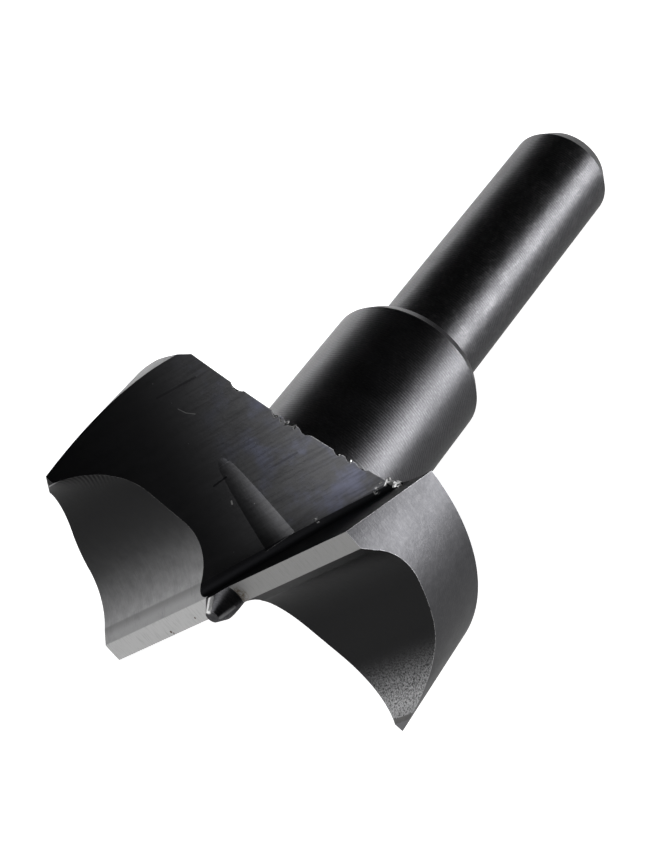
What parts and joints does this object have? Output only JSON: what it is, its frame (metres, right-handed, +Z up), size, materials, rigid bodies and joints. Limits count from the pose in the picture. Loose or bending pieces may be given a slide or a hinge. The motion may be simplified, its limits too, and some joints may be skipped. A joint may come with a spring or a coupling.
{
  "type": "cylinder-head wood boring cutter",
  "caption": "Boring cutter for flat-bottomed holes in wood: round shank and collar, and a wide short head with two wings, ground lips, rim spurs and a blunt centre point.",
  "frame": {"origin": "on the table under the middle of the tool as it lies on its side: the centre of the bottom of its bounding box", "axes": "+Z up; +X along the tool from the head towards the free end of the shank, level over the table, so the tool's own axis leans 9.4 degrees down towards +X because the wide head holds it up; +Y to the left, seen from the head"},
  "size_m": [0.065, 0.035, 0.0293],
  "materials": {
    "blackened_steel": "black oxide over turned and milled steel, glossy, with bare ground lands behind the lips"
  },
  "bodies": {
    "root": {"boring_cutter": "blackened_steel"}
  },
  "joints": []
}
